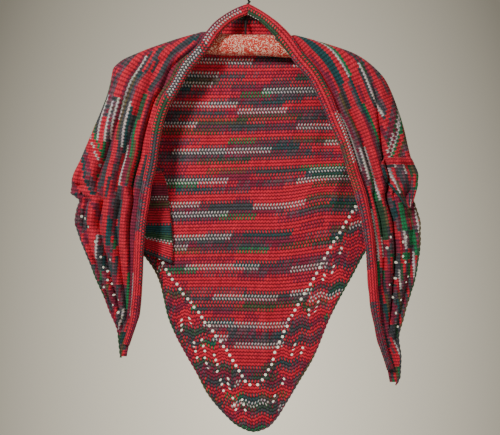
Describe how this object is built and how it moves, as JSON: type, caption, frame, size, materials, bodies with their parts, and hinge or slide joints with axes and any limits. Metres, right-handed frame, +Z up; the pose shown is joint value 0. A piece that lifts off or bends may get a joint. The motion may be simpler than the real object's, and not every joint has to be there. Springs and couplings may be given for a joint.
{
  "type": "triangle shawl on a padded hanger",
  "caption": "Hand-knitted triangular shawl with a lace border and a rolled edge, hung on a padded hanger.",
  "frame": {"origin": "inside of the hook's top, where it hangs on a rod", "axes": "+Z up, +X to the right as seen from the front, +Y to the back"},
  "size_m": [0.553, 0.0629, 0.7341],
  "materials": {
    "knit": "soft hand-knitted yarn in changing reds, greens, greys and white",
    "cover": "speckled cream and red cover",
    "wire": "dark wire"
  },
  "bodies": {
    "root": {"back_panel": "knit", "back_border_left": "knit", "back_border_right": "knit", "left_back_fold": "knit", "left_wing": "knit", "right_wing": "knit", "right_wing_flap": "knit", "neck_roll": "knit", "left_front_roll": "knit", "right_front_roll": "knit", "hanger_body": "cover", "hanger_hook": "wire"}
  },
  "joints": []
}
